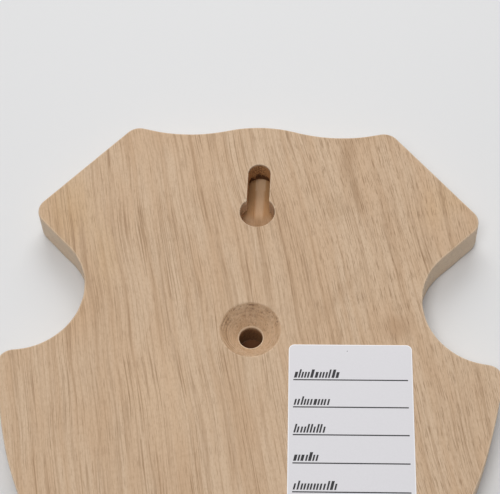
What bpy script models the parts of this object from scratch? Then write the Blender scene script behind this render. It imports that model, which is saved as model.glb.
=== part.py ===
"""Shield-shaped oak board for mounting antlers, with a keyhole hanger and a record label on its back.

Metres, +Z up, as the board hangs on a wall. The origin is the centre of the upper end of the keyhole
slot, in the plane of the back face. The back face looks along +Y and the moulded front along -Y.
Outline points are (across, up) pairs seen from the back, so across grows towards -X.
"""

from math import acos, asin, atan2, ceil, cos, pi, radians, sin, tan

import bmesh
import bpy
from mathutils import Vector
from mathutils.geometry import intersect_line_line_2d

# Board, across and up from the keyhole
crest_height = 0.0159
crest_radius = 0.036
valley_drop = 0.0029
valley_across = 0.0215
top_corner_across = 0.0361
side_corner_across = 0.0623
side_corner_height = -0.0141
shoulder_run = 0.0165
shoulder_lean = radians(45)
scallop_radius = 0.0184
lobe_run = 0.0035
flank_lean = radians(13)
flank_upper_pull = 0.036
tip_height = -0.164
tip_lean = radians(46)
tip_pull = 0.086

# Board edge, from the back face towards the front
straight_edge = 0.0086
moulding_radius = 0.0038
moulding_step = 0.0026
inner_corner_radius = 0.0008

# Keyhole hanger
neck_width = 0.0062
lip_thickness = 0.0052
undercut_height = 0.0046
head_width = 0.0092
entry_clearance = 0.0004
entry_drop = 0.0125
groove_width = 0.0031
groove_depth = 0.0005

# Screw hole for the antlers
screw_hole_drop = 0.0491
screw_hole_width = 0.0063
countersink_width = 0.0162
countersink_angle = radians(90)

# Record label
label_width = 0.032
label_height = 0.057
label_thickness = 0.0002
label_corner_radius = 0.0015
label_gap = 0.0003
label_across = 0.0271
label_drop = 0.0814
label_turn = radians(1.6)

# How finely the curves are faceted
chord_error = 0.00004
curve_steps = 20
hole_sides = 48
moulding_steps = 5
cut_margin = 0.002
sharp_angle = radians(25)

# Finishes
oak_colour = (0.53, 0.39, 0.26)
oak_roughness = 0.6
paper_colour = (0.75, 0.74, 0.76)
paper_roughness = 0.5


def clear_scene():
    for obj in list(bpy.data.objects):
        bpy.data.objects.remove(obj, do_unlink=True)


def arc(centre, radius, start, end):
    """Points on a circle from one angle to another, close enough to stay within the chord error."""
    steps = max(1, ceil(abs(end - start) / (2 * acos(1 - chord_error / radius))))
    angles = [start + (end - start) * i / steps for i in range(steps + 1)]
    return [centre + radius * Vector((cos(a), sin(a))) for a in angles]


def bezier(start, start_pull, end_pull, end):
    """Points on the cubic curve that leaves start towards start_pull and reaches end from end_pull."""
    points = []
    for i in range(curve_steps + 1):
        t = i / curve_steps
        s = 1 - t
        points.append(
            s**3 * start + 3 * s * s * t * start_pull + 3 * s * t * t * end_pull + t**3 * end
        )
    return points


def angle_of(vector):
    return atan2(vector.y, vector.x)


def inset(points, distance, closed):
    """The path moved to its right by a distance, with mitred corners."""
    moved = []
    last = len(points) - 1
    for i, point in enumerate(points):
        before = points[i - 1] if closed or i > 0 else point
        after = points[(i + 1) % len(points)] if closed or i < last else point
        into = (point - before if before != point else after - point).normalized()
        out = (after - point if after != point else point - before).normalized()
        right = Vector((into.y + out.y, -into.x - out.x))
        moved.append(point + distance * 2 * right / right.length_squared)
    return moved


def rounded(first, second, radius):
    """Joins two paths that meet at a corner by an arc, with the material on the right of the path."""
    first_inset = inset(first, radius, False)
    second_inset = inset(second, radius, False)
    for i in range(len(first) - 2, -1, -1):
        for j in range(len(second) - 1):
            a, b = first_inset[i], first_inset[i + 1]
            c, d = second_inset[j], second_inset[j + 1]
            centre = intersect_line_line_2d(a, b, c, d)
            if centre is None:
                continue
            leave = first[i].lerp(first[i + 1], (centre - a).length / (b - a).length)
            join = second[j].lerp(second[j + 1], (centre - c).length / (d - c).length)
            start = angle_of(leave - centre)
            turn = (start - angle_of(join - centre)) % (2 * pi)
            corner = arc(centre, radius, start, start - turn)
            return tidy(first[: i + 1] + corner + second[j + 1 :])
    raise ValueError("the corner radius is too large for its sides")


def tidy(points):
    """The path without points that repeat."""
    kept = points[:1]
    for point in points[1:]:
        if (point - kept[-1]).length > chord_error:
            kept.append(point)
    return kept


def top_edge():
    """The wavy top from its middle to the top corner: a crest arc that runs into a valley arc."""
    radii = (valley_across**2 + valley_drop**2) / (2 * valley_drop)
    valley_radius = radii - crest_radius
    crest_centre = Vector((0, crest_height - crest_radius))
    valley_centre = Vector((valley_across, crest_height - valley_drop + valley_radius))
    lean = angle_of(valley_centre - crest_centre)
    corner = pi * 1.5 + asin((top_corner_across - valley_across) / valley_radius)
    crest = arc(crest_centre, crest_radius, pi / 2, lean)
    return crest + arc(valley_centre, valley_radius, lean + pi, corner)[1:]


def scallop_edge(side_corner):
    """The shoulder's straight run, the scallop that it touches, and the short run to the lobe's corner."""
    lean = Vector((sin(shoulder_lean), -cos(shoulder_lean)))
    touch = side_corner - shoulder_run * Vector((cos(shoulder_lean), sin(shoulder_lean)))
    scallop = arc(touch + scallop_radius * lean, scallop_radius, pi / 2 + shoulder_lean, pi * 1.5)
    return [side_corner] + scallop + [scallop[-1] + Vector((lobe_run, 0))]


def half_outline():
    """The right half of the outline, from the crest down to the point."""
    corner_radius = moulding_radius + inner_corner_radius
    side_corner = Vector((side_corner_across, side_corner_height))
    tip = Vector((0, tip_height))
    top = top_edge()
    scallop = scallop_edge(side_corner)
    lobe_corner = scallop[-1]
    flank = bezier(
        lobe_corner,
        lobe_corner - flank_upper_pull * Vector((sin(flank_lean), cos(flank_lean))),
        tip + tip_pull * Vector((sin(tip_lean), cos(tip_lean))),
        tip,
    )
    path = rounded(top, [top[-1], side_corner], corner_radius)
    path = rounded(path, scallop, corner_radius)
    return rounded(path, flank, corner_radius)


def board_outline():
    """The closed outline, clockwise seen from the back."""
    half = half_outline()
    other = [Vector((-p.x, p.y)) for p in reversed(half)]
    return rounded(half, other, moulding_radius + inner_corner_radius)[:-1]


def edge_profile():
    """(inset, depth) pairs down the board's edge: straight, quarter round, then a small step."""
    rows = [(0, 0), (0, straight_edge)]
    for i in range(1, moulding_steps + 1):
        turn = pi / 2 * i / moulding_steps
        rows.append((moulding_radius * (1 - cos(turn)), straight_edge + moulding_radius * sin(turn)))
    return rows + [(moulding_radius, board_thickness())]


def board_thickness():
    return straight_edge + moulding_radius + moulding_step


def new_object(name, bm):
    bmesh.ops.recalc_face_normals(bm, faces=bm.faces)
    mesh = bpy.data.meshes.new(name)
    bm.to_mesh(mesh)
    bm.free()
    obj = bpy.data.objects.new(name, mesh)
    bpy.context.collection.objects.link(obj)
    return obj


def skinned(rows):
    """A closed mesh through rings of as many points each, with both ends filled."""
    bm = bmesh.new()
    rings = [[bm.verts.new(point) for point in row] for row in rows]
    for upper, lower in zip(rings, rings[1:]):
        for i in range(len(upper)):
            bm.faces.new((upper[i - 1], upper[i], lower[i], lower[i - 1]))
    bm.faces.new(rings[0])
    bm.faces.new(rings[-1])
    return bm


def placed(points, depth):
    """Outline points at a depth in front of the back face."""
    return [Vector((-p.x, -depth, p.y)) for p in points]


def stadium(width, drop):
    """The outline of a straight slot with round ends, from the origin down by a drop."""
    radius = width / 2
    steps = hole_sides // 2
    upper = [pi * i / steps for i in range(steps + 1)]
    lower = [pi + pi * i / steps for i in range(steps + 1)]
    points = [radius * Vector((cos(a), sin(a))) for a in upper]
    return points + [radius * Vector((cos(a), sin(a))) - Vector((0, drop)) for a in lower]


def slot_cutter(name, width, drop, start, end):
    outline = stadium(width, drop)
    return new_object(name, skinned([placed(outline, start), placed(outline, end)]))


def round_cutter(name, drop, rings):
    """A turned cutter on the board's middle line, through (radius, depth) rings."""
    angles = [2 * pi * i / hole_sides for i in range(hole_sides)]
    rows = []
    for radius, depth in rings:
        circle = [Vector((radius * cos(a), radius * sin(a) - drop)) for a in angles]
        rows.append(placed(circle, depth))
    return new_object(name, skinned(rows))


def keyhole_cutters():
    floor = lip_thickness + undercut_height
    entry_radius = (head_width + entry_clearance) / 2
    entry = [(entry_radius, -cut_margin), (entry_radius, floor)]
    middle_of_undercut = lip_thickness + undercut_height / 2
    groove_floor = floor + groove_depth
    return [
        slot_cutter("keyhole_undercut_cutter", head_width, entry_drop, lip_thickness, floor),
        slot_cutter("keyhole_groove_cutter", groove_width, entry_drop, middle_of_undercut, groove_floor),
        round_cutter("keyhole_entry_cutter", entry_drop, entry),
        slot_cutter("keyhole_neck_cutter", neck_width, entry_drop, -cut_margin, middle_of_undercut),
    ]


def screw_hole_cutters():
    hole_radius = screw_hole_width / 2
    slope = tan(countersink_angle / 2)
    mouth_radius = countersink_width / 2
    cone_depth = mouth_radius / slope
    hole = [(hole_radius, -cut_margin), (hole_radius, board_thickness() + cut_margin)]
    point_radius = hole_radius / 2
    cone = [
        (mouth_radius + cut_margin * slope, -cut_margin),
        (point_radius, cone_depth - point_radius / slope),
    ]
    return [
        round_cutter("countersink_cutter", screw_hole_drop, cone),
        round_cutter("screw_hole_cutter", screw_hole_drop, hole),
    ]


def cut(obj, cutters):
    """Subtracts the cutters and keeps the result, so that the new edges can be marked sharp."""
    for cutter in cutters:
        cutter.hide_render = True
        cutter.display_type = "WIRE"
        modifier = obj.modifiers.new(cutter.name, "BOOLEAN")
        modifier.operation = "DIFFERENCE"
        modifier.solver = "EXACT"
        modifier.object = cutter
    graph = bpy.context.evaluated_depsgraph_get()
    solid = bpy.data.meshes.new_from_object(obj.evaluated_get(graph))
    obj.modifiers.clear()
    obj.data = solid
    for cutter in cutters:
        bpy.data.objects.remove(cutter)


def finish(obj, name, colour, roughness, parent):
    material = bpy.data.materials.new(name)
    material.use_nodes = True
    shader = material.node_tree.nodes["Principled BSDF"]
    shader.inputs["Base Color"].default_value = (*colour, 1)
    shader.inputs["Roughness"].default_value = roughness
    shader.inputs["Metallic"].default_value = 0
    obj.data.materials.append(material)
    obj.data.shade_smooth()
    obj.data.set_sharp_from_angle(angle=sharp_angle)
    obj.parent = parent


def make_board(parent):
    outline = board_outline()
    rows = [placed(inset(outline, distance, True), depth) for distance, depth in edge_profile()]
    board = new_object("oak_board", skinned(rows))
    cut(board, keyhole_cutters() + screw_hole_cutters())
    finish(board, "oiled oak", oak_colour, oak_roughness, parent)


def rounded_rectangle(width, height, radius):
    """The closed outline of a rectangle about its middle, with rounded corners."""
    corner = Vector((width / 2 - radius, height / 2 - radius))
    points = []
    for quarter, (across, up) in enumerate(((1, 1), (-1, 1), (-1, -1), (1, -1))):
        centre = Vector((across * corner.x, up * corner.y))
        points += arc(centre, radius, quarter * pi / 2, (quarter + 1) * pi / 2)
    return points


def make_label(parent):
    """The paper label, turned a little in the plane of the back face."""
    outline = rounded_rectangle(label_width, label_height, label_corner_radius)
    faces = [placed(outline, 0), placed(outline, -label_thickness)]
    label = new_object("record_label", skinned(faces))
    label.location = (-label_across, label_gap, -label_drop)
    label.rotation_euler.y = label_turn
    finish(label, "label paper", paper_colour, paper_roughness, parent)


clear_scene()
hanging_point = bpy.data.objects.new("hanging_point", None)
bpy.context.collection.objects.link(hanging_point)
make_board(hanging_point)
make_label(hanging_point)
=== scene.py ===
from math import acos, asin, atan2, cos, pi, radians, sin

import bmesh
import bpy
import numpy as np
from mathutils import Matrix, Vector


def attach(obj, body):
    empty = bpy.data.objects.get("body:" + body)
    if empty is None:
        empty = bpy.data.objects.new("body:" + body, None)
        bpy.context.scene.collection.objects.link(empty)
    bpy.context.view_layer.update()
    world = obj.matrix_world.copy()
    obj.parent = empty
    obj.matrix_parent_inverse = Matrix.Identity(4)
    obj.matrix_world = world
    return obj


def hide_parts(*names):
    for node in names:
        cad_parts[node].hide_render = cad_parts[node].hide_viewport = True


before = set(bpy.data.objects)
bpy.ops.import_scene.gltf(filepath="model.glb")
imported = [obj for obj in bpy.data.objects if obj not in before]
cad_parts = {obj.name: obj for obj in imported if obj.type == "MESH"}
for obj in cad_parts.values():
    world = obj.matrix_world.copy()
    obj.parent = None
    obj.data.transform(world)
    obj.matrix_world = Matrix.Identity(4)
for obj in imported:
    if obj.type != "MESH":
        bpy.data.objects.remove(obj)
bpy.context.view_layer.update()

# The board hangs with +Z up, its back face at y = 0 looking along +Y and its moulded front along -Y.
# Shapes are worked out in millimetres as (across, up, depth): across grows to the right as the back
# is seen, which is -X, and depth grows from the back face towards the front, which is -Y.

millimetre = 0.001
frameWidth = 500  # the photograph is 500 pixels wide and 494 high


def softNoise(x, y, seed):
    # random heights on a square lattice, blended smoothly from each point to the next: -1 to 1
    size = 64
    lattice = np.random.default_rng(seed).uniform(-1, 1, (size, size))
    column, row = np.floor(x).astype(int), np.floor(y).astype(int)
    s, t = x - column, y - row
    s, t = s * s * (3 - 2 * s), t * t * (3 - 2 * t)
    near = lattice[row % size, column % size] * (1 - s) + lattice[row % size, (column + 1) % size] * s
    far = lattice[(row + 1) % size, column % size] * (1 - s)
    far = far + lattice[(row + 1) % size, (column + 1) % size] * s
    return near * (1 - t) + far * t


def smoothStep(low, high, x):
    # 0 below low, 1 above high, and an S-shaped blend between them
    t = np.clip((x - low) / (high - low), 0, 1)
    return t * t * (3 - 2 * t)


def level(points, depth):
    # points of (across, up), all at one depth or each at its own
    return np.c_[points, np.broadcast_to(depth, len(points))]


def toWorld(points):
    # (across, up, depth) in millimetres to x, y and z in metres
    return np.c_[-points[:, 0], -points[:, 2], points[:, 1]] * millimetre


def gridFaces(rows, count, closed=False):
    # quads between each two rows of points, and on from the last column to the first where closed
    index = np.arange(rows * count).reshape(rows, count)
    if closed:
        index = np.c_[index, index[:, 0]]
    quads = np.stack([index[:-1, :-1], index[:-1, 1:], index[1:, 1:], index[1:, :-1]], -1)
    return quads.reshape(-1, 4)


def closeUp(mesh, reach):
    # points closer than the reach are merged, and normals turned outwards
    bm = bmesh.new()
    bm.from_mesh(mesh)
    bmesh.ops.remove_doubles(bm, verts=bm.verts, dist=reach)
    bmesh.ops.recalc_face_normals(bm, faces=bm.faces)
    bm.to_mesh(mesh)
    bm.free()


print("stage: helpers ready")


# Outline of the board: the same dimensions as the solid's

boardShape = {
    "crestHeight": 15.9,
    "crestRadius": 36.0,
    "valleyDrop": 2.9,
    "valleyAcross": 21.5,
    "topCornerAcross": 36.1,
    "sideCorner": (62.3, -14.1),
    "shoulderRun": 16.5,
    "shoulderLean": radians(45),
    "scallopRadius": 18.4,
    "lobeRun": 3.5,
    "flankLean": radians(13),
    "flankUpperPull": 36.0,
    "tipHeight": -164.0,
    "tipLean": radians(46),
    "tipPull": 86.0,
    "straightEdge": 8.6,
    "mouldingRadius": 3.8,
    "mouldingStep": 2.6,
    "cornerRadius": 4.6,
    "backArris": 0.35,  # the worn rounding of the back edge
    "frontArris": 0.25,
    "arrisWear": 0.4,  # how pale the arrises are worn, from 0 to 1
    "sanded": 0.09,  # how far sanding took the edge inside its nominal outline
    "chatter": 0.35,  # waves of the sanding for each millimetre
    "middleInset": 9.0,  # of the path where the rays of a flat face change direction
    "middleColumns": 61,  # over which that path is evened out
    "tipShare": 0.35,  # of the outline's across that the path keeps where the tip is too narrow
    "frontSeam": -6.0,  # how high the line starts from which the front's rays run
    "pathSpacing": 0.25,  # between the outline's working points
    "cornerCare": 4.0,  # extra millimetres' worth of points for each radian that the outline turns
}
shape = boardShape
boardThickness = shape["straightEdge"] + shape["mouldingRadius"] + shape["mouldingStep"]


def straightRun(start, end):
    start, end = np.array(start, float), np.array(end, float)
    count = max(2, int(np.linalg.norm(end - start) / shape["pathSpacing"]) + 1)
    return start + (end - start) * np.linspace(0, 1, count)[:, None]


def arcRun(centre, radius, start, end):
    # centre + radius (cos a, sin a), for an angle that runs evenly from start to end
    count = max(3, int(abs(end - start) * radius / shape["pathSpacing"]) + 1)
    angle = np.linspace(start, end, count)
    return np.c_[centre[0] + radius * np.cos(angle), centre[1] + radius * np.sin(angle)]


def bezierRun(start, startPull, endPull, end):
    # the cubic curve: each point is the four control points blended by Bernstein's weights
    t = np.linspace(0, 1, 600)[:, None]
    s = 1 - t
    return s**3 * start + 3 * s * s * t * startPull + 3 * s * t * t * endPull + t**3 * end


def insetPath(path, distance):
    # each point moves to the right of the path, square to the chord between its neighbours
    chord = np.gradient(path, axis=0)
    chord = chord / np.linalg.norm(chord, axis=1, keepdims=True)
    return path + distance * np.c_[chord[:, 1], -chord[:, 0]]


def roundCorner(first, second, radius):
    # the arc's centre is where the two paths, both inset by the radius, cross. Every step a + s u of
    # the first is set against every step c + t v of the second, and the last crossing is taken
    a, c = insetPath(first, radius)[:, None], insetPath(second, radius)[None]
    u, v = np.diff(a, axis=0), np.diff(c, axis=1)
    gap = c[:, :-1] - a[:-1]
    turn = u[..., 0] * v[..., 1] - u[..., 1] * v[..., 0]
    turn = np.where(turn == 0, np.inf, turn)
    s = (gap[..., 0] * v[..., 1] - gap[..., 1] * v[..., 0]) / turn
    t = (gap[..., 0] * u[..., 1] - gap[..., 1] * u[..., 0]) / turn
    i, j = np.argwhere((s > 0) & (s <= 1) & (t >= 0) & (t < 1))[-1]
    centre = a[i, 0] + s[i, j] * u[i, 0]
    leave = first[i] + s[i, j] * (first[i + 1] - first[i]) - centre
    join = second[j] + t[i, j] * (second[j + 1] - second[j]) - centre
    start = atan2(leave[1], leave[0])
    sweep = (start - atan2(join[1], join[0])) % (2 * pi)
    return np.r_[first[: i + 1], arcRun(centre, radius, start, start - sweep), second[j + 1 :]]


def outlineHalf():
    # crest arc and valley arc, which touch; the chamfer; the shoulder's run and the scallop that it
    # touches; the lobe's short run; then the flank's curve to the tip. All corners have one radius
    radii = (shape["valleyAcross"] ** 2 + shape["valleyDrop"] ** 2) / (2 * shape["valleyDrop"])
    valleyRadius = radii - shape["crestRadius"]
    crest = np.array([0, shape["crestHeight"] - shape["crestRadius"]])
    valley = np.array([shape["valleyAcross"], shape["crestHeight"] - shape["valleyDrop"] + valleyRadius])
    lean = atan2(valley[1] - crest[1], valley[0] - crest[0])
    corner = 1.5 * pi + asin((shape["topCornerAcross"] - shape["valleyAcross"]) / valleyRadius)
    top = np.r_[
        arcRun(crest, shape["crestRadius"], pi / 2, lean),
        arcRun(valley, valleyRadius, lean + pi, corner)[1:],
    ]
    slope = shape["shoulderLean"]
    side = np.array(shape["sideCorner"])
    touch = side - shape["shoulderRun"] * np.array([cos(slope), sin(slope)])
    scallop = touch + shape["scallopRadius"] * np.array([sin(slope), -cos(slope)])
    curve = arcRun(scallop, shape["scallopRadius"], pi / 2 + slope, 1.5 * pi)
    lobe = curve[-1] + [shape["lobeRun"], 0]
    waist = np.r_[straightRun(side, touch), curve[1:], straightRun(curve[-1], lobe)[1:]]
    tip = np.array([0, shape["tipHeight"]])
    flank = bezierRun(
        lobe,
        lobe - shape["flankUpperPull"] * np.array([sin(shape["flankLean"]), cos(shape["flankLean"])]),
        tip + shape["tipPull"] * np.array([sin(shape["tipLean"]), cos(shape["tipLean"])]),
        tip,
    )
    path = roundCorner(top, straightRun(top[-1], side), shape["cornerRadius"])
    path = roundCorner(path, waist, shape["cornerRadius"])
    path = roundCorner(path, flank, shape["cornerRadius"])
    whole = roundCorner(path, path[::-1] * [-1, 1], shape["cornerRadius"])
    along = alongPath(whole)
    middle = [0, np.interp(along[-1] / 2, along, whole[:, 1])]
    return np.r_[whole[along < along[-1] / 2 - shape["pathSpacing"] / 2], [middle]]


def alongPath(path):
    # the length from the path's start to each of its points
    return np.r_[0, np.cumsum(np.linalg.norm(np.diff(path, axis=0), axis=1))]


def spread(path, shares, counts):
    # points along a path: so many between each two shares of its length, closer where it turns
    along = alongPath(path)
    step = np.diff(path, axis=0)
    bend = np.abs(np.diff(np.unwrap(np.arctan2(step[:, 1], step[:, 0]))))
    measure = along + shape["cornerCare"] * np.r_[0, 0, np.cumsum(bend)]
    ends = np.interp(np.array(shares) * along[-1], along, measure)
    runs = [np.linspace(a, b, n, endpoint=False) for a, b, n in zip(ends, ends[1:], counts)]
    place = np.interp(np.r_[np.concatenate(runs), ends[-1]], measure, along)
    points = np.c_[np.interp(place, along, path[:, 0]), np.interp(place, along, path[:, 1])]
    chord = np.c_[np.interp(place, along, np.gradient(path[:, 0], along)),
                  np.interp(place, along, np.gradient(path[:, 1], along))]
    chord /= np.linalg.norm(chord, axis=1, keepdims=True)
    return points, np.c_[chord[:, 1], -chord[:, 0]]


# Keyhole, countersink and screw hole

holeShape = {
    "neckRadius": 3.1,
    "entryRadius": 4.8,
    "entryDrop": 12.5,
    "lip": 5.2,
    "undercutRadius": 4.6,
    "floor": 9.8,
    "grooveRadius": 1.55,
    "grooveFloor": 10.3,
    "mouthArris": 0.22,
    "tornLip": 1.1,  # how far splinters hang below the lip at the end of the neck
    "screwDrop": 49.1,
    "screwRadius": 3.15,
    "sinkRadius": 8.1,
    "ridgePitch": 0.62,  # of the rings that the countersink bit left
    "ridgeHeight": 0.035,
    "tearDepth": 0.035,
    "gritDepth": 0.03,
    "rimArris": 0.2,
    # the countersink's lower edge also carries a painted highlight, palest at its foot
    "boreArris": 0.27,  # the countersink's lower edge, worn bright
    "frontRim": 0.22,
}
hole = holeShape

holeMarks = {
    # shares from 0 to 1: how pale wear and painted light make a place, how dark burning and painted shade
    # make it, and how rough it is cut
    "mouthWear": 0.3,
    "grooveLight": 0.46,
    "lipShade": 0.25,
    "undercutShade": 0.95,
    "scuffBurn": 0.5,
    "besideGrooveShade": 0.24,
    "farFloorShade": 0.04,
    "entryFloorDarkening": 0.22,
    "entryCut": 0.5,
    "sinkMouthWear": 0.1,
    "ringBurn": 0.52,
    "tearBurn": 0.55,
    "mottleBurn": 0.07,
    "boreShade": 0.72,
    "sinkCut": 0.22,
    "boreCut": 0.7,
    "cells": {
        # of noise, for each millimetre
        "splinters": 1.6,
        "fineSplinters": 4.2,
        "scuffs": 1.7,
        "ringWobble": 0.3,
        "ringGaps": 0.4,
        "tears": 3.4,
        "grit": 3.1,
    },
}
marks = holeMarks
cells = marks["cells"]

# Columns of the half mesh. Each run of the holes' side has as many as the run of the outline it faces
columns = {
    "keyholeTop": 40,
    "keyholeNeck": 40,
    "keyholeEntry": 70,
    "middle": 44,
    "sinkUpper": 62,
    "sinkLower": 124,
    "outlineShares": (0, 0.09, 0.20, 0.31, 0.40, 0.52, 1),
    "sinkTurn": radians(72),  # where the countersink's upper columns end, from its top
}
keyholeColumns = columns["keyholeTop"] + columns["keyholeNeck"] + columns["keyholeEntry"]
middleColumns = columns["middle"]
runs = ("keyholeTop", "keyholeNeck", "keyholeEntry", "middle", "sinkUpper", "sinkLower")
runCounts = [columns[run] for run in runs]


def keyholeLoop(radius, endRadius):
    # half of a slot's outline: a round top, a straight side that meets the entry's circle, and the
    # circle's lower half. The side's across is the larger of the slot's radius and the circle's chord
    drop = hole["entryDrop"]
    wide = np.sqrt(hole["entryRadius"] ** 2 - hole["neckRadius"] ** 2)
    sideTop = np.linspace(0, -drop + wide, columns["keyholeNeck"], endpoint=False)
    upper = pi / 2 * (1 - np.arange(columns["keyholeTop"]) / columns["keyholeTop"])
    turn = np.linspace(acos(hole["neckRadius"] / hole["entryRadius"]), -pi / 2, columns["keyholeEntry"] + 1)
    below = turn[turn <= 0]
    sideLow = hole["entryRadius"] * np.sin(turn[turn > 0]) - drop
    side = np.r_[sideTop, sideLow]
    chord = np.sqrt(np.maximum(endRadius**2 - (side + drop) ** 2, 0))
    points = np.r_[
        np.c_[radius * np.cos(upper), radius * np.sin(upper)],
        np.c_[np.maximum(radius, chord), side],
        np.c_[endRadius * np.cos(below), endRadius * np.sin(below) - drop],
    ]
    points[[0, -1], 0] = 0
    return points


def sinkLoop(radius):
    # half a circle round the screw hole, from its top
    upper = columns["sinkTurn"] * np.arange(columns["sinkUpper"]) / columns["sinkUpper"]
    turn = np.r_[upper, np.linspace(columns["sinkTurn"], pi, columns["sinkLower"] + 1)]
    points = np.c_[radius * np.sin(turn), radius * np.cos(turn) - hole["screwDrop"]]
    points[[0, -1], 0] = 0
    return points


def edgeRows(outline, inward):
    # the edge's profile of (inset, depth, wear) carried round the outline: the back arris, the
    # straight wall, the quarter round, the small step and the front arris
    back, front, worn = shape["backArris"], shape["frontArris"], shape["arrisWear"]
    radius, straight = shape["mouldingRadius"], shape["straightEdge"]
    arrisTurns = np.linspace(0, pi / 2, 5)
    quarterTurns = np.linspace(0, pi / 2, 11)[1:]
    rows = [(back * (1 - sin(a)), back * (1 - cos(a)), worn) for a in arrisTurns]
    rows += [(0, depth, 0) for depth in np.linspace(back * 2, straight, 7)]
    rows += [(radius * (1 - cos(a)), straight + radius * sin(a), 0) for a in quarterTurns]
    rows += [(radius, boardThickness - front * 2, 0)]
    rows += [
        (radius + front * (1 - cos(a)), boardThickness - front * (1 - sin(a)), worn)
        for a in arrisTurns
    ]
    rows = np.array(rows)
    waves = outline * shape["chatter"]
    chatter = 0.5 + 0.5 * softNoise(waves[:, 1], waves[:, 0], 3)
    sanded = shape["sanded"] * (0.6 + 0.8 * chatter)
    grid = []
    for inset, depth in rows[:, :2]:
        moved = outline + (inset + sanded)[:, None] * inward
        moved[[0, -1], 0] = 0
        grid.append(level(moved, depth))
    return np.array(grid), rows[:, 2]


def evened(path, window):
    # a moving average over so many columns. Past its ends the path goes on as its mirror image
    half = window // 2
    padded = np.r_[path[half:0:-1] * [-1, 1], path, path[-2 : -half - 2 : -1] * [-1, 1]]
    return np.stack([np.convolve(padded[:, k], np.ones(window) / window, "valid") for k in (0, 1)], -1)


def flatFace(inner, outer, inward, depth):
    # rays run from the inner loop to a path in the middle, which is the outer loop inset and evened
    # out, and from there to the outer loop. Rows close to each end keep the shading flat there
    middle = outer + shape["middleInset"] * inward
    middle[:, 0] = np.maximum(middle[:, 0], shape["tipShare"] * outer[:, 0])
    middle = evened(middle, shape["middleColumns"])
    innerRay, outerRay = middle - inner, middle - outer
    innerRay /= np.linalg.norm(innerRay, axis=1, keepdims=True)
    outerRay /= np.linalg.norm(outerRay, axis=1, keepdims=True)
    rows = [inner] + [inner + innerRay * reach for reach in (0.12, 0.4, 0.9)]
    rows += [rows[-1] + (middle - rows[-1]) * share for share in (0.12, 0.3, 0.5, 0.75, 1)]
    last = outer + outerRay * 0.12
    rows += [middle + (last - middle) * share for share in (0.35, 0.7, 1)] + [outer]
    rows = np.array([level(row, depth) for row in rows])
    rows[:, [0, -1], 0] = 0  # both halves meet on the centre line
    return rows


def keyholeRows(side):
    # loops from the mouth down: the neck's wall, the ceiling of the undercut, its wall, the floor and
    # the shallow groove that the cutter's tip left
    neck, entry, lip = hole["neckRadius"], hole["entryRadius"], hole["lip"]
    arris, floor = hole["mouthArris"], hole["floor"]
    rows = []
    for a in np.linspace(0, pi / 2, 4):
        out = arris * (1 - sin(a))
        rows.append(level(keyholeLoop(neck + out, entry + out), arris * (1 - cos(a))))
    mouthRow = len(rows)
    mouth, under = keyholeLoop(neck, entry), keyholeLoop(hole["undercutRadius"], entry)
    grooveWide = hole["grooveRadius"]
    groove, centre = keyholeLoop(grooveWide, grooveWide), keyholeLoop(0, 0)
    # free is 1 where the lip hangs over the undercut, and 0 in the entry
    free = smoothStep(0.05, 0.6, under[:, 0] - mouth[:, 0]) + smoothStep(0.5, 2, mouth[:, 1])
    free = np.clip(free, 0, 1)
    place = side * alongPath(mouth)
    teeth = softNoise(place * cells["splinters"], place * 0, 11)
    teeth = teeth + 0.9 * softNoise(place * cells["fineSplinters"], place * 0, 12)
    ragged = hole["tornLip"] * free * np.clip(teeth + 0.3, -0.2, 1.2)
    for share in (0.12, 0.3, 0.5, 0.7, 0.85, 0.95, 1):
        rows.append(level(mouth, share * lip + ragged * share**3))
    lipRow = len(rows)
    rows.append(level(mouth + (under - mouth) * 0.25, lip + ragged * 0.3))
    for share in (0, 0.15, 0.4, 0.7, 0.92, 1):
        rows.append(level(under, lip + (floor - lip) * share))
    for share in (0.08, 0.22, 0.35, 0.5, 0.65, 0.8, 0.94, 1):
        rows.append(level(under + (groove - under) * share, floor))
    ramp = smoothStep(2, -9, groove[:, 1]) * (hole["grooveFloor"] - floor)
    for line in (groove, groove * [0.5, 1], centre):
        rows.append(level(line, floor + ramp))
    rows = np.array(rows)
    wearAndLight = np.zeros(rows.shape[:2])
    wearAndLight[:mouthRow] = marks["mouthWear"]
    # painted shade darkens the undercut and the neck's wall next to the lip, and less so the floor to both
    # sides of the groove and near the slot's upper end. The entry's floor is darker, and its wall has dark
    # scuffs
    across, up, depth = rows[..., 0], rows[..., 1], rows[..., 2]
    inNeck = smoothStep(-9.5, -6.5, up)
    wall = marks["lipShade"] * smoothStep(lip - 1.5, lip, depth)
    wall[lipRow:] = marks["undercutShade"]
    wall = wall * inNeck * (free > 0)
    scuffs = smoothStep(0.1, 0.5, softNoise(place * cells["scuffs"] + depth * 0, depth * 0.5, 13))
    wall = wall + marks["scuffBurn"] * scuffs * smoothStep(0.6, 1.6, depth) * (1 - free)
    beside = smoothStep(grooveWide - 0.3, grooveWide, across)
    below = marks["besideGrooveShade"] * beside + marks["farFloorShade"] * smoothStep(2.6, 4.6, up)
    below = inNeck * below + marks["entryFloorDarkening"] * (1 - inNeck)
    onFloor = depth > floor - 0.05
    # painted light: the groove's floor in the neck is made paler, where light falls through the neck
    wearAndLight = np.where(onFloor, marks["grooveLight"] * inNeck * (1 - beside), wearAndLight)
    burnAndShade = np.where(onFloor, below, wall)
    cut = smoothStep(0, 0.8, depth) * (marks["entryCut"] + (1 - marks["entryCut"]) * inNeck)
    return rows, wearAndLight, cut, np.clip(burnAndShade, 0, 1)


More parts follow.
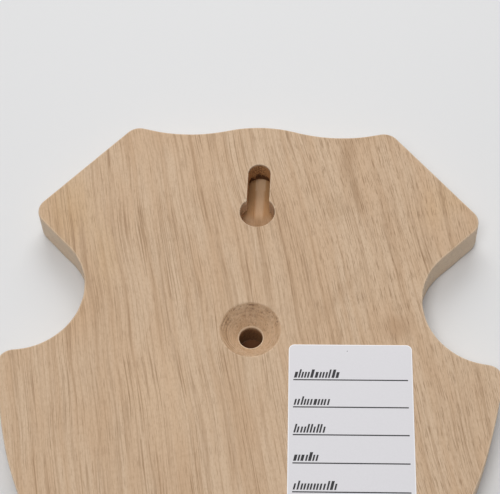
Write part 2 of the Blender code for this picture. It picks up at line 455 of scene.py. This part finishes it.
def sinkRows(side):
    # a turned profile of (radius, depth): mouth arris, cone, rim of the screw hole, its bore and the
    # front rim. The cone carries the bit's rings and the fibres that it tore out
    wide, narrow = hole["sinkRadius"], hole["screwRadius"]
    arris, rim, lip = hole["rimArris"], hole["frontRim"], hole["boreArris"]
    coneDepth = wide - narrow
    coneShares = np.linspace(0, 1, 46)[1:-1]
    thirds = (0, 0.5, 1)
    worn = marks["sinkMouthWear"]
    profile = [(wide + arris * (1 - t), arris * t * t * 0.6, worn) for t in thirds]
    profile += [(wide - (coneDepth - lip) * t, (coneDepth - lip) * t, 0) for t in coneShares]
    # the bore's arris: worn pale, and made brighter still by a painted highlight
    profile += [
        (narrow + lip * (1 - t), coneDepth - lip + lip * t * (1 + t) / 2, 1.2) for t in thirds
    ]
    profile += [(narrow, depth, 0) for depth in np.linspace(coneDepth + 0.5, boardThickness - rim, 9)]
    profile += [
        (narrow + rim * (1 - cos(a)), boardThickness - rim * (1 - sin(a)), 1) for a in (0.5, 1, pi / 2)
    ]
    profile = np.array(profile)
    rows = np.array([level(sinkLoop(radius), depth) for radius, depth, _ in profile])
    radius, depth, wearAndLight = (column[:, None] for column in profile.T)
    inward = (radius - narrow) / coneDepth
    cone = smoothStep(0.02, 0.1, (wide - radius) / coneDepth) * smoothStep(0.02, 0.12, inward)
    cone = cone * (depth < coneDepth)
    # every noise goes by the place, so that both halves agree on the centre line. The marks fade from
    # the top of the countersink to its foot
    across, up = rows[..., 0] * side, rows[..., 1] + hole["screwDrop"]
    fade = np.cos(np.arctan2(across, up) / 2) ** 2
    wobble = softNoise(across * cells["ringWobble"], up * cells["ringWobble"], 5)
    rings = np.sin(2 * pi * radius / hole["ridgePitch"] + 1.5 * wobble)
    gaps = softNoise(across * cells["ringGaps"], up * cells["ringGaps"], 6)
    strong = smoothStep(-0.1, 0.5, gaps + 0.5 * fade - 0.12)
    strong = strong * smoothStep(0.35, 0.75, inward)
    torn = smoothStep(0.32, 0.6, softNoise(across * cells["tears"], up * cells["tears"], 8))
    torn = torn * smoothStep(0.25, 0.8, fade) * (0.4 + 0.6 * smoothStep(0.6, 0.9, inward))
    grit = softNoise(across * cells["grit"], up * cells["grit"], 9)
    push = hole["ridgeHeight"] * rings * strong + hole["tearDepth"] * torn + hole["gritDepth"] * grit
    rows[..., 2] += push * cone
    mottle = smoothStep(0, 0.6, softNoise(across * 0.7, up * 0.9, 10))
    burnAndShade = marks["ringBurn"] * strong * smoothStep(0.2, 1, rings) + marks["tearBurn"] * torn
    burnAndShade = cone * (burnAndShade + marks["mottleBurn"] * mottle * (0.3 + 0.7 * fade))
    # painted shade: the bore is darkened, for the unlit table below the hole
    bore = smoothStep(coneDepth - 0.1, coneDepth + 1.2, depth) * (radius == narrow)
    burnAndShade = np.clip(burnAndShade + marks["boreShade"] * bore, 0, 1)
    cut = smoothStep(-0.1, 0.3, depth) * marks["sinkCut"] + marks["boreCut"] * bore
    # painted highlight: the rims below the countersink are palest at their foot and half as pale at their
    # top
    wearAndLight = wearAndLight * (1 - 0.5 * fade * (depth > coneDepth / 2))
    return rows, wearAndLight, np.broadcast_to(cut, burnAndShade.shape), burnAndShade


def newMesh(name, points, faces, values=None):
    # the points, the faces and the values that the material reads at the points
    mesh = bpy.data.meshes.new(name)
    mesh.from_pydata(toWorld(points).tolist(), [], faces.tolist())
    for key, value in (values or {}).items():
        mesh.attributes.new(key, "FLOAT", "POINT").data.foreach_set("value", value.astype(np.float32))
    return mesh


def addPiece(name, mesh, materials, sharpAngle):
    # an object of the mesh, shaded smooth except at edges sharper than the angle
    for material in materials:
        mesh.materials.append(material)
    mesh.shade_smooth()
    mesh.set_sharp_from_angle(angle=sharpAngle)
    piece = bpy.data.objects.new(name, mesh)
    bpy.context.collection.objects.link(piece)
    return piece


dents = {
    # name: (across, up, radius, depth, paleness) of the small losses at the holes and the waist
    "neckChip": (-3.3, -8.9, 0.5, 0.4, 1.0),
    "entryNick": (4.7, -10.6, 0.3, 0.25, 0.3),
    "waistNick": (45.3, -36.2, 0.3, 0.3, 0.0),
}


def boardHalf(side):
    # five patches, each a grid of points with its wear and painted light, cut, and burns and painted shade:
    # the edge, both flat faces, the keyhole and the screw hole. side is 1 for the half at the right as the
    # back is seen, else -1
    outline, inward = spread(outlineHalf(), columns["outlineShares"], runCounts)
    outline[[0, -1], 0] = 0
    edge, edgeWear = edgeRows(outline, inward)
    keyhole, *keyholeValues = keyholeRows(side)
    sink, *sinkValues = sinkRows(side)
    share = np.arange(middleColumns)[:, None] / middleColumns
    backInner = np.r_[
        keyhole[0][:-1, :2],
        keyhole[0][-1, :2] + (sink[0][0, :2] - keyhole[0][-1, :2]) * share,
        sink[0][:, :2],
    ]
    back = flatFace(backInner, edge[0][:, :2], inward, 0)
    spine = keyholeColumns + middleColumns
    frontTop = np.array([0, shape["frontSeam"]])
    frontInner = np.r_[
        frontTop + (sink[-1][0, :2] - frontTop) * np.arange(spine)[:, None] / spine,
        sink[-1][:, :2],
    ]
    front = flatFace(frontInner, edge[-1][:, :2], inward, boardThickness)
    patches = []
    for grid, wearAndLight in ((edge, edgeWear), (back, None), (front, None)):
        if wearAndLight is None:
            wearAndLight = np.r_[shape["arrisWear"], np.zeros(len(grid) - 2), shape["arrisWear"]]
        flat = np.zeros(grid.shape[:2])
        patches.append((grid, flat + wearAndLight[:, None], flat, flat))
    return [*patches, (keyhole, *keyholeValues), (sink, *sinkValues)]


def boardMesh():
    # both halves' patches as one mesh, with the dents pressed in as smooth bells
    points, faces, values = [], [], []
    start = 0
    for side in (1, -1):
        for grid, *patchValues in boardHalf(side):
            points.append((grid * [side, 1, 1]).reshape(-1, 3))
            faces.append(gridFaces(*grid.shape[:2]) + start)
            values.append(np.stack(patchValues, -1).reshape(-1, 3))
            start += len(points[-1])
    points, faces, values = map(np.concatenate, (points, faces, values))
    for across, up, radius, depth, paleness in dents.values():
        near = np.exp(-((points[:, 0] - across) ** 2 + (points[:, 1] - up) ** 2) / radius**2)
        near = near * smoothStep(2.5, 0.5, points[:, 2])
        points[:, 2] += depth * near
        values[:, 0] = np.maximum(values[:, 0], paleness * np.minimum(2 * near, 1))
    values = dict(zip(("paleWearAndLight", "cut", "burnAndShade"), values.T))
    mesh = newMesh("oakBoardFine", points, faces, values)
    closeUp(mesh, 2e-6)
    return mesh


# Materials


def fromHex(text):
    # sRGB hex to the linear values that the shader wants
    value = np.array([int(text[i : i + 2], 16) for i in (1, 3, 5)]) / 255
    linear = np.where(value <= 0.04045, value / 12.92, ((value + 0.055) / 1.055) ** 2.4)
    return (*linear, 1)


def addNode(tree, kind, settings=None, inputs=None):
    # one node: its own settings, then its inputs, each a plain value or another node's output
    node = tree.nodes.new(kind)
    for key, value in (settings or {}).items():
        setattr(node, key, value)
    for key, value in (inputs or {}).items():
        if isinstance(value, bpy.types.Node):
            value = value.outputs[0]
        if isinstance(value, bpy.types.NodeSocket):
            tree.links.new(value, node.inputs[key])
        else:
            node.inputs[key].default_value = value
    return node


def newMaterial(name):
    # an empty material and its node tree
    material = bpy.data.materials.new(name)
    material.use_nodes = True
    material.node_tree.nodes.clear()
    return material, material.node_tree


oakLook = {
    "pale": "#D2B698",
    "surfaces": {
        # colour and share, painted over the grain in this order
        "cut": ("#DDA468", 0.75),
        "rough": ("#68452A", 0.8),
        "endGrain": ("#68452A", 0.1),
        # the sides that face off the board's plane are paler: sanded, and painted bounce light from the
        # table
        "outside": ("#EEDCC4", 0.5),
        # burns, and painted shade in the keyhole and in the screw hole's bore
        "burnAndShade": ("#5A361A", 0.9),
        # worn arrises, and painted light on the groove's floor and on the rims below the countersink
        "paleWearAndLight": ("#ECD5B8", 0.8),
    },
    "grainTurn": radians(-12.2),  # the grain leans to the upper left as the back is seen
    "wander": 3.0,  # how far the grain strays from straight
    "wanderSize": (42.0, 80.0),
    "roughness": 0.62,
    "specular": 0.32,
    "bumpHeight": 0.06,
    "bumpStrength": 0.7,
    "lineDepth": -0.4,  # how deep lines and rough cuts are beside the dashes
    "roughDepth": 1.5,
    "grain": {
        # cell width and length in millimetres, where the noise begins and ends to count, colour, share
        "zones": (11.0, 40.0, 0.42, 0.62, "#CAA886", 0.45),
        "bands": (3.2, 150.0, 0.42, 0.68, "#C09D7A", 0.36),
        "streaks": (1.0, 60.0, 0.46, 0.72, "#A28161", 0.46),
        "lines": (0.34, 24.0, 0.5, 0.66, "#8F6E4E", 0.6),
        "dashes": (0.24, 4.6, 0.53, 0.7, "#7F5D3B", 0.52),
        "mottle": (0.6, 1.1, 0.44, 0.66, "#A88866", 0.2),
    },
    "clusters": (5.0, 38.0, 0.36, 0.62),  # of the lines, with the same first four values
    "speckle": (0.42, 0.8, 0.4, 0.58),  # of the end grain, likewise
    "sides": (("lines", 1.0, 0.7), ("dashes", 0.6, 1.0)),  # strength at the left and at the right
    "figures": (
        # across, up, half width, half height, lean, softness, colour, share: marks that stand out
        (-52, -13, 7, 12, -10, 1.0, "#C49A5C", 0.24),
        (-41, -27, 4, 12, -12, 1.0, "#C49A5C", 0.16),
        (-46, -45, 5, 12, -12, 1.0, "#C2905C", 0.16),
        (24.5, 7, 2.4, 9, 4, 1.0, "#94704C", 0.34),
        (21.6, -10.5, 3.0, 4.4, 10, 0.45, "#9C7C58", 0.17),
        (27, -6, 1.6, 9, -16, 1.0, "#94704C", 0.28),
        (20, -42, 2.2, 9, 33, 1.0, "#9C7854", 0.20),
        (26, -34, 1.5, 6, 30, 1.0, "#9C7854", 0.14),
        (38.5, -47, 4.0, 3.6, -10, 1.0, "#9A7048", 0.30),
        (35.6, -16, 1.4, 1.4, -10, 1.0, "#8A6848", 0.22),
        (53, -5, 6, 13, 40, 1.0, "#D2A870", 0.16),
        (-22, -70, 11, 16, -11, 1.0, "#D9BC9C", 0.4),
    ),
}


def oiledOak():
    # plain-sawn European oak, sanded and hardly oiled: a matte pale tan with soft straight streaks of
    # early wood, and short dark dashes where the saw opened the pores. The cuts show rough end grain
    look, oakGrain = oakLook, oakLook["grain"]
    material, tree = newMaterial("oiledOak")
    place = addNode(tree, "ShaderNodeTexCoord").outputs["Object"]
    turned = addNode(
        tree, "ShaderNodeMapping", None,
        {"Scale": (1 / millimetre,) * 3, "Rotation": (0, look["grainTurn"], 0), "Vector": place},
    )

    def streaked(source, width, length, low, high):
        # noise whose cells are width across the grain and length along it, cut to an S-shaped step
        stretched = addNode(
            tree, "ShaderNodeMapping", None,
            {"Scale": (1 / width, 1 / width, 1 / length), "Vector": source},
        )
        noise = addNode(
            tree, "ShaderNodeTexNoise", None,
            {"Vector": stretched, "Scale": 1.0, "Detail": 2.0, "Roughness": 0.55},
        )
        return addNode(
            tree, "ShaderNodeMapRange", {"interpolation_type": "SMOOTHSTEP"},
            {"Value": noise, "From Min": low, "From Max": high},
        )

    stray = streaked(turned, *look["wanderSize"], 0.2, 0.8)
    stray = addNode(
        tree, "ShaderNodeMath", {"operation": "MULTIPLY"}, {0: stray, 1: look["wander"]}
    )
    shift = addNode(tree, "ShaderNodeCombineXYZ", None, {"X": stray})
    grain = addNode(tree, "ShaderNodeVectorMath", {"operation": "ADD"}, {0: turned, 1: shift})

    layers = []  # (share from 0 to 1, its strength, colour), painted one over the other
    shares = {}
    for name, (*noise, _, _) in oakGrain.items():
        shares[name] = streaked(grain, *noise)
    # lines gather in clusters. The left half has more of them, as the back is seen, and the right half
    # has more dashes
    clusters = streaked(grain, *look["clusters"])
    across = addNode(tree, "ShaderNodeSeparateXYZ", None, {0: turned})
    for name, atLeft, atRight in look["sides"]:
        side = addNode(
            tree, "ShaderNodeMapRange", None,
            {"Value": across, "From Min": 6.0, "From Max": -20.0, "To Min": atLeft, "To Max": atRight},
        )
        shares[name] = addNode(
            tree, "ShaderNodeMath", {"operation": "MULTIPLY"}, {0: shares[name], 1: side}
        )
    shares["lines"] = addNode(
        tree, "ShaderNodeMath", {"operation": "MULTIPLY"}, {0: shares["lines"], 1: clusters}
    )
    for name in ("zones", "bands", "streaks"):
        *_, tint, strength = oakGrain[name]
        layers.append((shares[name], strength, tint))

    for acrossAt, upAt, halfWidth, halfHeight, lean, softness, tint, strength in look["figures"]:
        near = addNode(
            tree, "ShaderNodeMapping", {"vector_type": "TEXTURE"},
            {
                "Location": (-acrossAt * millimetre, 0, upAt * millimetre),
                "Rotation": (0, radians(-lean), 0),
                "Scale": (halfWidth * millimetre, 1, halfHeight * millimetre),
                "Vector": place,
            },
        )
        away = addNode(tree, "ShaderNodeVectorMath", {"operation": "LENGTH"}, {0: near})
        away = addNode(
            tree, "ShaderNodeMath", {"operation": "MULTIPLY_ADD"},
            {0: shares["streaks"], 1: 0.5 * softness, 2: away.outputs["Value"]},
        )
        near = addNode(
            tree, "ShaderNodeMapRange", {"interpolation_type": "SMOOTHSTEP"},
            {"Value": away, "From Min": 1 + softness / 2, "From Max": 1 - softness * 0.7},
        )
        layers.append((near, strength, tint))
    for name in ("lines", "dashes", "mottle"):
        *_, tint, strength = oakGrain[name]
        layers.append((shares[name], strength, tint))

    # cut surfaces: how far a surface faces along the grain, and how far it faces off the board's plane
    facing = addNode(tree, "ShaderNodeNewGeometry").outputs["Normal"]
    along = addNode(
        tree, "ShaderNodeVectorMath", {"operation": "DOT_PRODUCT"},
        {0: facing, 1: (-sin(look["grainTurn"]), 0, cos(look["grainTurn"]))},
    ).outputs["Value"]
    endGrain = addNode(tree, "ShaderNodeMath", {"operation": "MULTIPLY"}, {0: along, 1: along})
    flat = addNode(tree, "ShaderNodeSeparateXYZ", None, {0: facing}).outputs["Y"]
    flat = addNode(tree, "ShaderNodeMath", {"operation": "ABSOLUTE"}, {0: flat})
    painted = {}
    for name in ("paleWearAndLight", "cut", "burnAndShade"):
        painted[name] = addNode(
            tree, "ShaderNodeAttribute", {"attribute_name": name}
        ).outputs["Fac"]
    # painted bounce light: the sides that face off the board's plane, where not cut, are made paler
    outside = addNode(
        tree, "ShaderNodeMath", {"operation": "ADD", "use_clamp": True}, {0: flat, 1: painted["cut"]}
    )
    outside = addNode(tree, "ShaderNodeMath", {"operation": "SUBTRACT"}, {0: 1.0, 1: outside})
    speckle = streaked(turned, *look["speckle"])
    rough = addNode(tree, "ShaderNodeMath", {"operation": "MULTIPLY"}, {0: endGrain, 1: speckle})
    rough = addNode(
        tree, "ShaderNodeMath", {"operation": "MULTIPLY"}, {0: rough, 1: painted["cut"]}
    )
    painted.update(rough=rough, endGrain=endGrain, outside=outside)
    layers += [(painted[name], strength, tint) for name, (tint, strength) in look["surfaces"].items()]
    colour = fromHex(look["pale"])
    for share, strength, tint in layers:
        share = addNode(
            tree, "ShaderNodeMath", {"operation": "MULTIPLY"}, {0: share, 1: strength}
        )
        colour = addNode(
            tree, "ShaderNodeMix", {"data_type": "RGBA"}, {0: share, 6: colour, 7: fromHex(tint)}
        ).outputs[2]

    height = addNode(
        tree, "ShaderNodeMath", {"operation": "MULTIPLY_ADD"},
        {0: shares["lines"], 1: look["lineDepth"], 2: shares["dashes"]},
    )
    height = addNode(
        tree, "ShaderNodeMath", {"operation": "MULTIPLY_ADD"},
        {0: rough, 1: look["roughDepth"], 2: height},
    )
    bump = addNode(
        tree, "ShaderNodeBump", {"invert": True},
        {
            "Strength": look["bumpStrength"], "Distance": look["bumpHeight"] * millimetre,
            "Height": height,
        },
    )
    shader = addNode(
        tree, "ShaderNodeBsdfPrincipled", None,
        {
            "Base Color": colour, "Normal": bump,
            "Roughness": look["roughness"], "Specular IOR Level": look["specular"],
        },
    )
    addNode(tree, "ShaderNodeOutputMaterial", None, {"Surface": shader})
    return material


labelShape = {
    "width": 32.0,
    "height": 57.0,
    "cornerRadius": 1.5,
    "across": 27.1,
    "drop": 81.4,
    "turn": radians(1.6),
    "lift": 0.02,  # the glue under the paper
    "thickness": 0.2,
    "inkHeight": 0.012,
    "ruleDrop": 10.4,
    "rulePitch": 7.73,
    "ruleMargin": 1.25,
    "ruleThickness": 0.33,
    "ruleCount": 6,
    "wordWidths": (12.3, 9.4, 8.4, 6.3, 11.0, 9.0),
    "strokeWidth": 0.46,
    "strokeWidths": (1, 1, 1, 1.6),  # shares of the width, one of them drawn for each stroke
    "strokeHeight": 2.4,
    "strokeHeights": (0.7, 0.7, 0.7, 1),
    "strokeGaps": (0.3, 0.36, 0.44),
    "strokeLean": 0.24,
    "wordLift": 0.75,
    "wordStart": 0.15,
    "fibreSize": 0.4,
    "fibreHeight": 0.01,
    "fibreBump": 0.1,
    "fibreShade": 0.98,  # of the colour, between the fibres
    "softEdge": 0.04,  # of the pressed cut
    # the cut edge carries a painted highlight of this width and colour
    "edgeHighlightWidth": 0.3,  # of the bright cut edge
    "edgeHighlightColour": "#F6F5F7",
    "paper": ("#E0DEE1", 0.45),  # colour and roughness
    "ink": ("#232225", 0.5),
    "specular": 0.4,
    "speck": (-0.9, 26.5, 0.2),  # a stray dot of ink: across, up, size
}


def plainPaper(name, colour, roughness):
    # smooth coated label paper: a cool near-white with a faint sheen. The ink is a print on the same
    # paper, so it has the same fine fibres. They are drawn coarser than real ones, or none would show.
    # The cut edge is brighter: a painted highlight
    material, tree = newMaterial(name)
    place = addNode(tree, "ShaderNodeTexCoord").outputs["Object"]
    fibre = addNode(
        tree, "ShaderNodeTexNoise", None,
        {"Scale": 1 / (labelShape["fibreSize"] * millimetre), "Detail": 3.0, "Vector": place},
    )
    tone = addNode(
        tree, "ShaderNodeMapRange", None, {"From Min": 0.3, "From Max": 0.7, "Value": fibre}
    )
    darker = tuple(value * labelShape["fibreShade"] for value in fromHex(colour)[:3]) + (1,)
    tint = addNode(
        tree, "ShaderNodeMix", {"data_type": "RGBA"}, {0: tone, 6: darker, 7: fromHex(colour)}
    )
    # painted highlight along the cut edge
    rim = addNode(tree, "ShaderNodeAttribute", {"attribute_name": "rim"})
    tint = addNode(
        tree, "ShaderNodeMix", {"data_type": "RGBA"},
        {0: rim.outputs["Fac"], 6: tint.outputs[2], 7: fromHex(labelShape["edgeHighlightColour"])},
    )
    bump = addNode(
        tree, "ShaderNodeBump", None,
        {
            "Strength": labelShape["fibreBump"], "Distance": labelShape["fibreHeight"] * millimetre,
            "Height": fibre,
        },
    )
    shader = addNode(
        tree, "ShaderNodeBsdfPrincipled", None,
        {
            "Base Color": tint.outputs[2], "Normal": bump,
            "Roughness": roughness, "Specular IOR Level": labelShape["specular"],
        },
    )
    addNode(tree, "ShaderNodeOutputMaterial", None, {"Surface": shader})
    return material


def labelMesh():
    # a slab from rings of a rounded rectangle, closed along its middle line, with the print as thin
    # prisms of ink: a base line per row, and above it leaning strokes of two heights
    label = labelShape
    wide, tall, radius = label["width"] / 2, label["height"] / 2, label["cornerRadius"]

    def ring(inset, depth):
        turn = np.linspace(0, pi / 2, 9)
        quarters = []
        for quarter, (across, up) in enumerate(((1, 1), (-1, 1), (-1, -1), (1, -1))):
            centre = np.array([across * (wide - radius), up * (tall - radius)])
            angle = turn + quarter * pi / 2
            quarters.append(centre + (radius - inset) * np.c_[np.cos(angle), np.sin(angle)])
        return level(np.concatenate(quarters), depth)

    low, high = -label["lift"], -label["lift"] - label["thickness"]
    soft = label["softEdge"]
    rings = [
        ring(0.02, low), ring(0, low - soft), ring(0, high + soft),
        ring(0.015, high + 0.01), ring(soft, high),
        ring(label["edgeHighlightWidth"] * 0.6, high), ring(label["edgeHighlightWidth"], high),
    ]
    spine = rings[-1] * [0, 1, 1]
    spine[:, 1] = np.clip(spine[:, 1], wide - tall, tall - wide)
    spineLow = spine.copy()
    spineLow[:, 2] = low
    slab = np.array([spineLow, *rings, rings[-1] * 0.97 + spine * 0.03, spine])
    slabFaces = gridFaces(*slab.shape[:2], closed=True)
    # painted highlight along the cut edge
    rim = np.zeros(slab.shape[:2])
    rim[1:len(rings)] = 1  # all rings but the innermost

    chance = np.random.default_rng(20)
    across, up, size = label["speck"]
    left, bottom, width, height, lean = [across], [up], [size], [size], [0]
    for row in range(label["ruleCount"]):
        base = tall - label["ruleDrop"] - label["rulePitch"] * row
        left.append(-wide + label["ruleMargin"])
        bottom.append(base)
        width.append(2 * (wide - label["ruleMargin"]))
        height.append(label["ruleThickness"])
        lean.append(0)
        place = label["wordStart"]
        while place < label["wordWidths"][row] - label["strokeWidth"]:
            left.append(-wide + label["ruleMargin"] + place)
            bottom.append(base + label["wordLift"])
            width.append(label["strokeWidth"] * chance.choice(label["strokeWidths"]))
            height.append(label["strokeHeight"] * chance.choice(label["strokeHeights"]))
            lean.append(label["strokeLean"])
            place += width[-1] + chance.choice(label["strokeGaps"])
    left, bottom, width, height, lean = map(np.array, (left, bottom, width, height, lean))
    corners = np.stack([
        np.c_[left, bottom], np.c_[left + width, bottom],
        np.c_[left + width + lean * height, bottom + height], np.c_[left + lean * height, bottom + height],
    ], 1)
    under = np.concatenate([corners, np.full((*corners.shape[:2], 1), high + 0.01)], -1)
    over = np.concatenate([corners, np.full((*corners.shape[:2], 1), high - label["inkHeight"])], -1)
    prisms = np.concatenate([under, over], 1)
    sides = np.array([[3, 2, 1, 0], [4, 5, 6, 7], [0, 1, 5, 4], [1, 2, 6, 5], [2, 3, 7, 6], [3, 0, 4, 7]])
    prismFaces = (sides[None] + 8 * np.arange(len(prisms))[:, None, None]).reshape(-1, 4)

    points = np.r_[slab.reshape(-1, 3), prisms.reshape(-1, 3)]
    faces = np.r_[slabFaces, prismFaces + rim.size]
    c, s = cos(label["turn"]), sin(label["turn"])
    across = points[:, 0] * c - points[:, 1] * s + label["across"]
    up = points[:, 0] * s + points[:, 1] * c - label["drop"]
    placed = np.c_[across, up, points[:, 2]]
    rim = np.r_[rim.ravel(), np.zeros(len(points) - rim.size)]
    mesh = newMesh("recordLabelFine", placed, faces, {"rim": rim})
    inked = np.r_[np.zeros(len(slabFaces), int), np.ones(len(prismFaces), int)]
    mesh.polygons.foreach_set("material_index", inked.astype(np.int32))
    closeUp(mesh, 1e-6)
    return mesh


print("stage: board")
board = addPiece("oakBoardFine", boardMesh(), [oiledOak()], radians(40))
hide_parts("oak_board")
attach(board, "root")

print("stage: label")
paper = plainPaper("coatedLabelPaper", *labelShape["paper"])
ink = plainPaper("printersInk", *labelShape["ink"])
label = addPiece("recordLabelFine", labelMesh(), [paper, ink], radians(30))
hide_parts("record_label")
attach(label, "root")


# Pale table, lights and camera

stageLook = {
    "radius": 340.0,
    "centre": (0.0, -66.0),
    "depth": 10.6,
    "gap": 0.12,  # between the table and the board's moulding
    "columns": 300,  # round half of the hole
    "colour": "#E5E5E5",
    "roughness": 0.7,
    "specular": 0.2,
    "gritScale": 900.0,
    "gritStrength": 0.05,
    "worldColour": "#E8E9EC",
    "worldStrength": 0.3,
    "cardDepth": 12.0,
    "cardGap": 0.02,
    "cardCorners": 32,
    "cardColour": "#6B462F",
}


def tableMesh():
    # a flat disc with a hole of the board's own outline, so that the moulded front shows too. Each
    # point of the outline has a ray to the circle, straight away from the disc's centre
    depth = stageLook["depth"]
    turn = asin((depth - shape["straightEdge"]) / shape["mouldingRadius"])
    inset = shape["mouldingRadius"] * (1 - cos(turn)) + stageLook["gap"]
    outline, inward = spread(outlineHalf(), (0, 1), (stageLook["columns"],))
    edge = outline + inset * inward
    edge[[0, -1], 0] = 0
    edge = np.r_[edge, edge[-2:0:-1] * [-1, 1]]
    centre = np.array(stageLook["centre"])
    ray = edge - centre
    rim = centre + stageLook["radius"] * ray / np.linalg.norm(ray, axis=1, keepdims=True)
    grid = np.array([edge + (rim - edge) * share for share in (0, 0.03, 0.1, 0.25, 0.5, 1)])
    faces = gridFaces(*grid.shape[:2], closed=True)[:, [0, 3, 2, 1]]
    return newMesh("paleTable", level(grid.reshape(-1, 2), depth), faces)


def paleTable():
    # a matte painted table top
    material, tree = newMaterial("paintedTable")
    place = addNode(tree, "ShaderNodeTexCoord").outputs["Object"]
    grit = addNode(
        tree, "ShaderNodeTexNoise", None,
        {"Scale": stageLook["gritScale"], "Detail": 2.0, "Vector": place},
    )
    bump = addNode(
        tree, "ShaderNodeBump", None,
        {"Strength": stageLook["gritStrength"], "Distance": 0.1 * millimetre, "Height": grit},
    )
    shader = addNode(
        tree, "ShaderNodeBsdfPrincipled", None,
        {
            "Base Color": fromHex(stageLook["colour"]), "Normal": bump,
            "Roughness": stageLook["roughness"], "Specular IOR Level": stageLook["specular"],
        },
    )
    addNode(tree, "ShaderNodeOutputMaterial", None, {"Surface": shader})
    return material


def shadowCard():
    # a small dark disc in the screw hole's bore, for the unlit table below it
    turn = np.linspace(0, 2 * pi, stageLook["cardCorners"], endpoint=False)
    reach = hole["screwRadius"] - stageLook["cardGap"]
    flat = reach * np.c_[np.cos(turn), np.sin(turn)] - [0, hole["screwDrop"]]
    points = level(flat, stageLook["cardDepth"])
    mesh = newMesh("shadowCard", points, np.arange(len(points))[None])
    material, tree = newMaterial("darkCard")
    shader = addNode(
        tree, "ShaderNodeBsdfPrincipled", None,
        {
            "Base Color": fromHex(stageLook["cardColour"]),
            "Roughness": 0.9, "Specular IOR Level": 0.1,
        },
    )
    addNode(tree, "ShaderNodeOutputMaterial", None, {"Surface": shader})
    return addPiece("shadowCard", mesh, [material], radians(30))


print("stage: table, lights and camera")
table = addPiece("paleTable", tableMesh(), [paleTable()], radians(30))
shadowCard()

world = bpy.data.worlds.new("softStudio")
world.use_nodes = True
background = world.node_tree.nodes["Background"]
background.inputs["Color"].default_value = fromHex(stageLook["worldColour"])
background.inputs["Strength"].default_value = stageLook["worldStrength"]
bpy.context.scene.world = world

lightPlan = {
    # name: place, size, watts, aimed at (metres)
    "windowLight": ((0.02, 0.5, 0.48), 0.6, 3.1, (0, 0, -0.02)),
    "cameraSideLight": ((0.05, 0.62, -0.26), 0.3, 1.75, (0, 0, -0.02)),
    "frontLight": ((0.35, -0.8, 0.5), 0.6, 6.0, (0, 0, -0.07)),
    "frontFill": ((-0.6, -0.7, -0.1), 0.6, 2.5, (0, 0, -0.07)),
}
for name, (place, size, watts, target) in lightPlan.items():
    lamp = bpy.data.lights.new(name, "AREA")
    lamp.shape = "SQUARE"
    lamp.size = size
    lamp.energy = watts
    light = bpy.data.objects.new(name, lamp)
    light.location = place
    light.rotation_euler = (Vector(place) - Vector(target)).to_track_quat("Z", "Y").to_euler()
    bpy.context.collection.objects.link(light)

cameraView = {
    "sensorWidth": 36.0,
    "focalPixels": 1600.0,
    "target": (1.39, 0.0, -23.91),
    "distance": 433.73,
    "elevation": radians(58.81),
    "swing": radians(-5.782),
    "roll": radians(3.288),
    "clip": (0.01, 10),
}


def addCamera():
    # the camera looks at the back from below: its elevation is above the back face's plane, its swing
    # is about the face's normal and its roll about its own axis
    view = cameraView
    e, t, r = view["elevation"], view["swing"], view["roll"]
    back = Vector((sin(t) * cos(e), sin(e), -cos(t) * cos(e)))
    right = Vector((-cos(t), 0, -sin(t)))
    up = Vector((-sin(t) * sin(e), cos(e), cos(t) * sin(e)))
    xAxis, yAxis = cos(r) * right - sin(r) * up, sin(r) * right + cos(r) * up
    data = bpy.data.cameras.new("camera")
    data.sensor_width = view["sensorWidth"]
    data.lens = view["focalPixels"] * data.sensor_width / frameWidth
    data.clip_start, data.clip_end = view["clip"]
    camera = bpy.data.objects.new("camera", data)
    turned = Matrix((xAxis, yAxis, back)).transposed().to_4x4()
    place = (Vector(view["target"]) + view["distance"] * back) * millimetre
    camera.matrix_world = Matrix.Translation(place) @ turned
    bpy.context.collection.objects.link(camera)
    bpy.context.scene.camera = camera


addCamera()
bpy.context.scene.view_settings.view_transform = "Standard"
bpy.context.view_layer.update()
